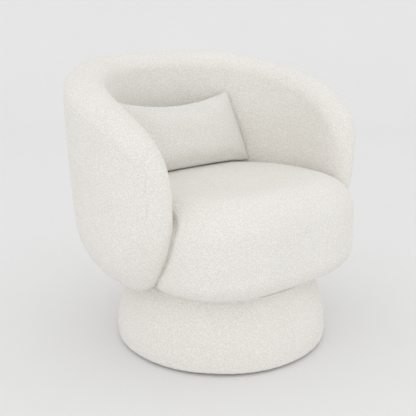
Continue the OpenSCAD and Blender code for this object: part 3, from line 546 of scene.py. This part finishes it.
def make_tub():
    """The tub's outer panel, and the inner cover that goes over the crest and round the tips."""
    main = even_angles(0.0, SEAM_WRAP, SEAM_IN, TUB_COLS)
    tip = even_angles(SEAM_WRAP, WRAP * TIP_SHARE, 0.0, TIP_COLS)[1:]
    psi_out = both_sides(main)
    psi_in = both_sides(np.concatenate([main, tip]))
    seam = tub_seam()
    panel = pad_tub(tub_grid(psi_out, 0, seam_shares(PANEL_ROWS, tight=0.25)), psi_out, seam)
    loop = pad_tub(tub_grid(psi_in, 1, seam_shares(LOOP_ROWS, tight=0.4)), psi_in, seam)
    weld(panel, loop, len(tip))
    outer = mesh_object("outer_cover_panel", panel.reshape(-1, 3), grid_faces(*panel.shape[:2]))
    rows, cols = loop.shape[:2]
    points, faces = loop.reshape(-1, 3), grid_faces(rows, cols)
    for row in (0, rows - 1):
        # A fan closes each arm's tip
        run = list(range(row * cols, (row + 1) * cols))
        points = add_fan(points, faces, run, flip=row == 0)
    return outer, mesh_object("inner_cover_panel", points, faces)


# Seat
def seat_xy(t, inset, power):
    """The seat's outline at angles t: an ellipse behind, squarer by a power in front."""
    c, s = np.cos(t), np.sin(t)
    e = np.where(s < 0.0, 2.0 / power, 1.0)
    reach = np.where(s < 0.0, SEAT_FRONT, SEAT_BACK)
    x = (SEAT_HALF_W - inset) * np.sign(c) * np.abs(c) ** e
    y = (reach - inset) * np.sign(s) * np.abs(s) ** e
    return x, y


def seat_top(x, y):
    """Height of the seat's top, pitched back and crowned."""
    return SEAT_H - SEAT_PITCH * y + SEAT_CROWN * (1.0 - (x * x + y * y) / SEAT_FRONT**2)


def seat_angles(n):
    """Angles that space points evenly round the seat's outline."""
    t = np.linspace(0.0, 2.0 * math.pi, RING_POINTS)
    s = length_along(np.column_stack(seat_xy(t, 0.0, SEAT_POW)))
    return np.interp(np.linspace(0.0, s[-1], n, endpoint=False), s, t)


def seat_piece(name, rings, seam_row):
    """A piece of the seat's cover from its rings, dipping toward the one at the seam."""
    grid = np.array(rings)
    step = np.linalg.norm(np.diff(grid, axis=0), axis=2)
    s = np.vstack([np.zeros((1, SEAT_COLS)), np.cumsum(step, axis=0)])
    dip = SEAT_SEAM_SHARE * seam_dip(np.abs(s - s[seam_row]))
    lift = pile(grid.reshape(-1, 3), SEAT_LUMP).reshape(s.shape) - dip - PILE_ROOM
    grid = grid + ring_normals(grid) * lift[:, :, None]
    points = grid.reshape(-1, 3)
    faces = grid_faces(len(grid), SEAT_COLS, close=True)
    if seam_row == 0:
        # The rings end round the middle of the top, which a fan closes
        run = list(range(len(points) - SEAT_COLS, len(points)))
        points = add_fan(points, faces, run, close=True)
    return mesh_object(name, points, faces)


def make_seat():
    """The seat's band, from under its edge up to the seam, and its top panel."""
    t = seat_angles(SEAT_COLS)
    front = np.maximum(0.0, -np.sin(t)) ** ROUND_POW
    radius = ROUND_BACK + (ROUND_TOP - ROUND_BACK) * front

    def low_ring(inset, z):
        return np.column_stack([*seat_xy(t, inset, SEAT_POW), np.full(SEAT_COLS, z)])

    def top_ring(inset, share=0.0):
        x, y = seat_xy(t, inset, SEAT_POW + (MIDDLE_POW - SEAT_POW) * share)
        x, y = x * (1.0 - share), y * (1.0 - share)
        rest = np.maximum(0.0, radius - inset)
        drop = radius - np.sqrt(radius**2 - rest**2)
        return np.column_stack([x, y, seat_top(x, y) - drop * (1.0 - share)])

    hem = np.linspace(SEAT_HEM + ROUND_LOW, ROUND_LOW, HEM_RINGS)
    band = [low_ring(inset, EDGE_Z + PILE_ROOM) for inset in hem]
    for a in np.linspace(0.0, QUARTER, LOW_RINGS)[1:]:
        turn_in, climb = 1.0 - math.sin(a), 1.0 - math.cos(a)
        band.append(low_ring(ROUND_LOW * turn_in, EDGE_Z + ROUND_LOW * climb))
    low, high = band[-1], top_ring(0.0)
    band += [low + (high - low) * f for f in np.linspace(0.0, 1.0, BAND_RINGS)[1:-1]]
    shares = np.linspace(0.0, 1.0, EDGE_RINGS)
    band += [top_ring(SEAT_SEAM * f**EDGE_CLOSER) for f in shares]
    shares = np.linspace(0.0, 1.0, TOP_RINGS) ** TOP_CLOSER
    top = [top_ring(SEAT_SEAM + (TOP_IN - SEAT_SEAM) * f) for f in shares]
    top += [top_ring(TOP_IN, f) for f in np.linspace(0.0, TOP_SHARE, MIDDLE_RINGS)[1:]]
    return seat_piece("seat_band", band, -1), seat_piece("seat_top", top, 0)


# Drum
def drum_rad(z):
    """Radius of the drum at a height."""
    s = (z - DRUM_Z) / DRUM_H
    foot_in = DRUM_FOOT_IN * (1.0 - s) ** DRUM_FOOT_POW
    return DRUM_R - (DRUM_R - DRUM_TOP_R) * s**DRUM_POW - foot_in


def make_drum():
    """The drum's cover: hem, foot, side, shoulder and a lid with the swivel's hole in it."""
    z0, z1 = DRUM_Z + PILE_ROOM, DRUM_Z + DRUM_H - PILE_ROOM
    foot_z, shoulder_z = z0 + FOOT_ROUND, z1 - SHOULDER_ROUND
    foot, shoulder = drum_rad(foot_z) - PILE_ROOM, drum_rad(shoulder_z) - PILE_ROOM
    low = arc(-QUARTER, 0.0, SMALL_ARC, (foot - FOOT_ROUND, foot_z), (FOOT_ROUND, FOOT_ROUND))
    high = arc(0.0, QUARTER, SMALL_ARC, (shoulder - SHOULDER_ROUND, shoulder_z),
               (SHOULDER_ROUND, SHOULDER_ROUND))
    z = np.linspace(foot_z, shoulder_z, DRUM_ROWS)[1:-1]
    lid_r = np.linspace(high[-1, 0] - LID_STEP, DRUM_HOLE_R, SMALL_ARC)
    profile = np.vstack([
        [[foot - inset, z0] for inset in DRUM_HEM],
        low,
        np.column_stack([drum_rad(z) - PILE_ROOM, z]),
        high,
        np.column_stack([lid_r, np.full(SMALL_ARC, z1)]),
    ])
    turn = np.linspace(0.0, 2.0 * math.pi, DRUM_COLS, endpoint=False)
    grid = np.array([
        np.column_stack([r * np.cos(turn), r * np.sin(turn), np.full(DRUM_COLS, z)])
        for r, z in profile
    ])
    lift = pile(grid.reshape(-1, 3), DRUM_LUMP).reshape(grid.shape[:2])
    grid = grid + ring_normals(grid) * lift[:, :, None]
    faces = grid_faces(len(grid), DRUM_COLS, close=True)
    return mesh_object("drum_cover", grid.reshape(-1, 3), faces)


# Cushion
def bunched(n):
    """n + 1 values from -1 to 1, closer together toward both ends."""
    values = np.sin(np.linspace(-1.0, 1.0, n + 1) * math.pi / 2.0 * BUNCH_SHARE)
    return values / math.sin(QUARTER * BUNCH_SHARE)


def place_cushion(points):
    """Leans the cushion back and stands its lower edge on the seat."""
    lean = math.radians(PILLOW_LEAN)
    floor = seat_top(0.0, PILLOW_AT) + PILLOW_GAP
    x, y, z = points[:, 0], points[:, 1], points[:, 2] + PILLOW_H / 2.0
    return np.column_stack([
        x,
        y * math.cos(lean) + z * math.sin(lean) + PILLOW_AT,
        z * math.cos(lean) - y * math.sin(lean) + floor,
    ])


def make_cushion():
    """The lumbar cushion: two sheets with a common border, swollen and set down on the seat."""
    a, b = (v.ravel() for v in np.meshgrid(bunched(PILLOW_COLS), bunched(PILLOW_ROWS)))
    half_w = PILLOW_LOW_W + (PILLOW_TOP_W - PILLOW_LOW_W) * (b + 1.0) / 2.0 - EDGE_SWELL
    droop = np.where(b > 0.0, PILLOW_DROOP * (1.0 - a * a), 0.0)
    half_h = PILLOW_H / 2.0 - EDGE_SWELL - droop
    upright = 1.0 - np.abs(b) ** np.where(b < 0.0, LOW_EDGE_POW, EDGE_POW)
    bulge = ((1.0 - np.abs(a) ** EDGE_POW) * upright) ** BULGE_POW
    front, back = (
        np.column_stack([a * half_w, side * PILLOW_T / 2.0 * FLAT_SHARE * bulge, b * half_h])
        for side in (-1.0, 1.0)
    )
    inner = np.zeros((PILLOW_ROWS + 1, PILLOW_COLS + 1), bool)
    inner[1:-1, 1:-1] = True
    inner = inner.ravel()
    # The back sheet's own points follow the front's; its border is the front's
    index = np.arange(len(inner))
    index[inner] = len(inner) + np.arange(inner.sum())
    front_faces = grid_faces(PILLOW_ROWS + 1, PILLOW_COLS + 1)
    back_faces = [tuple(int(index[v]) for v in face[::-1]) for face in front_faces]
    points = place_cushion(np.vstack([front, back[inner]]))
    obj = mesh_object("lumbar_cushion", points, front_faces + back_faces)
    give = np.concatenate([bulge, bulge[inner]])
    inflate(obj, (EDGE_SWELL + MIDDLE_SWELL * give) * MM)
    settle(obj)
    return obj


def inflate(obj, cap):
    """Swells a closed cloth from inside, holds each point within its cap, and applies that."""
    scene = bpy.context.scene
    rest = points_of(obj.data)
    cloth = obj.modifiers.new("swell", "CLOTH")
    for key, value in CLOTH.items():
        setattr(cloth.settings, key, value)
    cloth.settings.effector_weights.gravity = 0.0
    cloth.collision_settings.use_collision = False
    scene.frame_start, scene.frame_end = 1, SWELL_FRAMES
    for step in range(1, SWELL_FRAMES + 1):
        scene.frame_set(step)
    shaped = obj.evaluated_get(bpy.context.evaluated_depsgraph_get())
    move = points_of(shaped.data) - rest
    obj.modifiers.remove(cloth)
    far = np.linalg.norm(move, axis=1)
    held = cap * np.tanh(far / cap)
    move_points(obj.data, rest + move * (held / np.maximum(TINY, far))[:, None])
    scene.frame_set(1)


def settle(obj):
    """Presses the underside of the cushion flat on the seat."""
    co = points_of(obj.data) / MM
    floor = seat_top(co[:, 0], co[:, 1] - AXIS_Y)
    rise = co[:, 2] - floor
    pressed = rise - PRESS * (1.0 - smooth(rise / PRESS_REACH))
    co[:, 2] = floor + np.maximum(LEAST_GAP, pressed)
    move_points(obj.data, co * MM)


# Finishing of the pieces
def draw_back(obj, other, depth, reach):
    """Draws a soft piece in where it lies against another, so that a crease shows between them."""
    tree = BVHTree.FromPolygons([v.co for v in other.data.vertices],
                                [p.vertices for p in other.data.polygons])
    moved = []
    for v in obj.data.vertices:
        far = tree.find_nearest(v.co, SEARCH_REACHES * reach * MM)[3]
        share = math.exp(-((far / (reach * MM)) ** 2)) if far is not None else 0.0
        moved.append(v.co - v.normal * (depth * MM * share))
    move_points(obj.data, moved)


def subdivide(obj):
    """Rounds a mesh by one level of subdivision, applied."""
    mod = obj.modifiers.new("round", "SUBSURF")
    mod.levels = mod.render_levels = 1
    shaped = obj.evaluated_get(bpy.context.evaluated_depsgraph_get())
    mesh = bpy.data.meshes.new_from_object(shaped)
    obj.modifiers.remove(mod)
    old = obj.data
    obj.data = mesh
    bpy.data.meshes.remove(old)
    mesh.name = obj.name


def roughen(obj, lump, nub):
    """Moves each point of a finished mesh along its normal by the pile's height."""
    co = points_of(obj.data)
    normal = np.array([v.normal for v in obj.data.vertices])
    lift = pile(co / MM, lump, nub) * MM
    move_points(obj.data, co + normal * lift[:, None])


# Materials
def node(tree, kind, **values):
    """A shader node with its inputs and its properties set."""
    n = tree.nodes.new(kind)
    set_node(n, values)
    return n


def set_node(n, values):
    """Sets the inputs of a node that have a key's name, and else its properties."""
    for key, value in values.items():
        if key in n.inputs:
            n.inputs[key].default_value = value
        else:
            setattr(n, key, value)


def principled(name, **values):
    """A new material: itself, its tree, its shader and the coordinates for its textures."""
    mat = bpy.data.materials.new(name)
    mat.use_nodes = True
    tree = mat.node_tree
    bsdf = tree.nodes["Principled BSDF"]
    set_node(bsdf, {key.replace("_", " "): value for key, value in values.items()})
    return mat, tree, bsdf, node(tree, "ShaderNodeTexCoord").outputs["Object"]


def texture(tree, kind, where, **values):
    """A texture node at given coordinates."""
    n = node(tree, kind, **values)
    tree.links.new(where, n.inputs["Vector"])
    return n


def multiplied(tree, value, factor, plus=None):
    """A value times a factor, plus another value where there is one."""
    n = node(tree, "ShaderNodeMath", operation="MULTIPLY" if plus is None else "MULTIPLY_ADD")
    n.inputs[1].default_value = factor
    tree.links.new(value, n.inputs[0])
    if plus is not None:
        tree.links.new(plus, n.inputs[2])
    return n.outputs[0]


def coloured(tree, bsdf, value, low, high, stops=(0.0, 1.0)):
    """Gives a shader a colour that passes from low to high with a value."""
    n = node(tree, "ShaderNodeValToRGB")
    for element, stop, colour in zip(n.color_ramp.elements, stops, (low, high)):
        element.position = stop
        element.color = (*colour, 1.0)
    tree.links.new(value, n.inputs["Fac"])
    tree.links.new(n.outputs["Color"], bsdf.inputs["Base Color"])


def embossed(tree, bsdf, height, strength, depth):
    """Gives a shader a relief; the depth is in millimetres."""
    n = node(tree, "ShaderNodeBump", Strength=strength, Distance=depth * MM)
    tree.links.new(height, n.inputs["Height"])
    tree.links.new(n.outputs["Normal"], bsdf.inputs["Normal"])


def boucle(name, light, dark_tone_and_shade, loop):
    """Looped pile: cells of about one loop, broken up by finer yarn, with painted shade darkening
    the colour between the loops.
    """
    mat, tree, bsdf, where = principled(
        name, Roughness=0.95, Specular_IOR_Level=0.12, Sheen_Weight=0.1, Sheen_Roughness=0.6,
        Sheen_Tint=(1.0, 0.99, 0.97, 1.0))
    stir = texture(tree, "ShaderNodeTexNoise", where, Scale=210.0, Detail=2.0, Roughness=0.6)
    shift = node(tree, "ShaderNodeVectorMath", operation="MULTIPLY_ADD")
    shift.inputs[1].default_value = (0.0040, 0.0040, 0.0040)
    tree.links.new(stir.outputs["Color"], shift.inputs[0])
    tree.links.new(where, shift.inputs[2])
    loops = texture(tree, "ShaderNodeTexVoronoi", shift.outputs[0], feature="SMOOTH_F1",
                    Scale=1000.0 / loop, Smoothness=0.3)
    round_top = node(tree, "ShaderNodeMapRange", interpolation_type="SMOOTHSTEP",
                     **{"From Min": 0.75, "From Max": 0.12})
    tree.links.new(loops.outputs["Distance"], round_top.inputs["Value"])
    yarn = texture(tree, "ShaderNodeTexNoise", where, Scale=780.0, Detail=3.0, Roughness=0.7)
    height = multiplied(tree, yarn.outputs["Fac"], 0.6, round_top.outputs["Result"])
    embossed(tree, bsdf, height, strength=0.8, depth=1.0)
    drift = texture(tree, "ShaderNodeTexNoise", where, Scale=9.0, Detail=2.0)
    # Painted shade: the colour is darker where the loops are low, between them, on top of a slow
    # random drift in the fabric's tone
    tone_and_loop_shade = multiplied(tree, drift.outputs["Fac"], 0.25, multiplied(tree, height, 0.6))
    coloured(tree, bsdf, tone_and_loop_shade, dark_tone_and_shade, light, stops=(0.1, 0.85))
    return mat


def speckled(name, light, dark, scale, roughness, metallic=0.0, bump=0.0, stretch=(1.0, 1.0, 1.0)):
    """A plain material with a fine two-tone grain, for the pieces under the covers."""
    mat, tree, bsdf, where = principled(name, Roughness=roughness, Metallic=metallic)
    mapping = texture(tree, "ShaderNodeMapping", where, Scale=stretch).outputs[0]
    grain = texture(tree, "ShaderNodeTexNoise", mapping, Scale=scale, Detail=5.0, Roughness=0.6)
    coloured(tree, bsdf, grain.outputs["Fac"], dark, light, stops=(0.3, 0.7))
    if bump:
        embossed(tree, bsdf, grain.outputs["Fac"], strength=0.5, depth=bump)
    return mat


IVORY = boucle("ivory_boucle", (0.925, 0.906, 0.864), (0.77, 0.746, 0.70), loop=3.8)
COOL = boucle("cool_boucle", (0.89, 0.876, 0.838), (0.73, 0.712, 0.668), loop=3.6)

# By the slot of the CAD's nodes: name, light and dark colour, grain's scale and roughness
INNER = {
    "timber": speckled("planed_timber", (0.72, 0.56, 0.36), (0.52, 0.37, 0.21), 24.0, 0.6, bump=0.3,
                       stretch=(1.0, 1.0, 6.0)),
    "bent_board": speckled("bent_board_face", (0.50, 0.38, 0.24), (0.38, 0.27, 0.16), 300.0, 0.8),
    "dust_cloth": speckled("dust_cloth_weave", (0.022, 0.022, 0.024), (0.010, 0.010, 0.011), 900.0,
                           0.95, bump=0.2),
    "webbing": speckled("webbing_weave", (0.30, 0.24, 0.18), (0.12, 0.09, 0.07), 420.0, 0.9,
                        bump=0.3),
    "glide": speckled("glide_plastic", (0.035, 0.035, 0.037), (0.022, 0.022, 0.023), 260.0, 0.5),
    "cage": speckled("cage_plastic", (0.62, 0.56, 0.40), (0.52, 0.46, 0.32), 200.0, 0.5),
    "ball": speckled("ball_steel", (0.75, 0.75, 0.77), (0.68, 0.68, 0.70), 200.0, 0.12, 1.0),
    "fastener": speckled("zinc_plate", (0.66, 0.65, 0.60), (0.50, 0.49, 0.46), 180.0, 0.35, 1.0),
    "plate": speckled("black_lacquer", (0.045, 0.045, 0.048), (0.028, 0.028, 0.030), 240.0, 0.45),
    "wadding": speckled("wadding_fleece", (0.86, 0.86, 0.85), (0.72, 0.72, 0.71), 150.0, 1.0,
                        bump=1.0),
    "foam": speckled("cut_foam", (0.86, 0.79, 0.58), (0.74, 0.66, 0.45), 500.0, 1.0, bump=0.4),
    "fibre": speckled("cushion_lining", (0.88, 0.88, 0.87), (0.80, 0.80, 0.79), 600.0, 0.95),
}


def dress(obj, mat):
    """Gives a piece one material."""
    obj.data.materials.clear()
    obj.data.materials.append(mat)


SLOT_OF = {s["node"]: s["material_slot"] for s in frame["record"]["subparts"]}
for name, obj in frame["nodes"].items():
    mat = INNER.get(SLOT_OF[name])
    if mat:
        for material_slot in obj.material_slots:
            material_slot.material = mat

outer_panel, inner_panel = make_tub()
seat_band, seat_panel = make_seat()
drum = make_drum()
cushion = make_cushion()
subdivide(cushion)
roughen(cushion, lump=0.8, nub=0.5)
shade_smooth(cushion.data)
for part in (seat_band, seat_panel):
    draw_back(part, inner_panel, depth=11.0, reach=9.0)
draw_back(cushion, seat_panel, depth=2.6, reach=6.0)

for piece, body, slot, mat, nodes in (
    (outer_panel, "tub", "boucle", IVORY, ("tub_outer_cover", "tub_wadding")),
    (inner_panel, "tub", "boucle", IVORY,
     ("tub_inner_cover", "tub_foam_back", "tub_foam_left", "tub_foam_right")),
    (seat_band, "tub", "boucle", IVORY, ("seat_band_cover",)),
    (seat_panel, "tub", "boucle", IVORY, ("seat_top_cover", "seat_foam")),
    (drum, "base", "boucle", IVORY, ("base_cover", "base_wadding")),
    (cushion, "cushion", "cushion_boucle", COOL,
     ("cushion_front_cover", "cushion_back_cover", "cushion_insert")),
):
    dress(piece, mat)
    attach(piece, body)
    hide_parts(*nodes)


# Stage: one sheet of pale paper, a softbox, the sky and the camera
def make_paper():
    """Flat under the chair, swept up behind it in a long curve."""
    across = np.linspace(-PAPER_HALF_W, PAPER_HALF_W, 9)
    run = [(PAPER_NEAR, 0.0), (0.0, 0.0), (PAPER_FAR, 0.0)]
    run += [(PAPER_FAR + PAPER_SWEEP * math.sin(a), PAPER_SWEEP * (1.0 - math.cos(a)))
            for a in np.linspace(0.0, QUARTER, 24)[1:]]
    run.append((PAPER_FAR + PAPER_SWEEP, PAPER_TOP))
    s, c = math.sin(PAPER_VIEW), math.cos(PAPER_VIEW)
    points = [(s * d + c * w, c * d - s * w, h) for d, h in run for w in across]
    faces = grid_faces(len(run), len(across), flip=True)
    mesh = bpy.data.meshes.new("paper")
    mesh.from_pydata(points, [], faces)
    shade_smooth(mesh)
    paper = add_object("paper", mesh)
    mat, tree, bsdf, where = principled("pale_paper", Roughness=1.0, Specular_IOR_Level=0.0)
    tooth = texture(tree, "ShaderNodeTexNoise", where, Scale=1.5, Detail=2.0)
    coloured(tree, bsdf, tooth.outputs["Fac"], (0.825, 0.825, 0.825), (0.845, 0.845, 0.845))
    mesh.materials.append(mat)


def aimed(name, data, where, at):
    """A lamp or a camera at a place, turned toward a point."""
    obj = add_object(name, data)
    obj.location = where
    obj.rotation_euler = (Vector(at) - Vector(where)).to_track_quat("-Z", "Y").to_euler()
    return obj


def softbox(name, where, at, size, power):
    """A rectangular lamp; its size is in metres and its power in watts."""
    light = bpy.data.lights.new(name, "AREA")
    light.shape = "RECTANGLE"
    light.size, light.size_y = size
    light.energy = power
    aimed(name, light, where, at)


make_paper()
softbox("front", where=(-2.2, -2.8, 1.2), at=(0.0, 0.0, 0.35), size=(2.6, 2.0), power=9.0)

world = bpy.data.worlds.new("studio")
world.use_nodes = True
sky = world.node_tree.nodes["Background"]
sky.inputs["Color"].default_value = (1.0, 1.0, 1.0, 1.0)
sky.inputs["Strength"].default_value = SKY_STRENGTH
bpy.context.scene.world = world
bpy.context.scene.view_settings.view_transform = "Standard"

camera = bpy.data.cameras.new("camera")
camera.sensor_width = SENSOR
camera.lens = FOCAL_PX * camera.sensor_width / IMAGE_PX
bpy.context.scene.camera = aimed("camera", camera, CAMERA_FROM, CAMERA_AT)
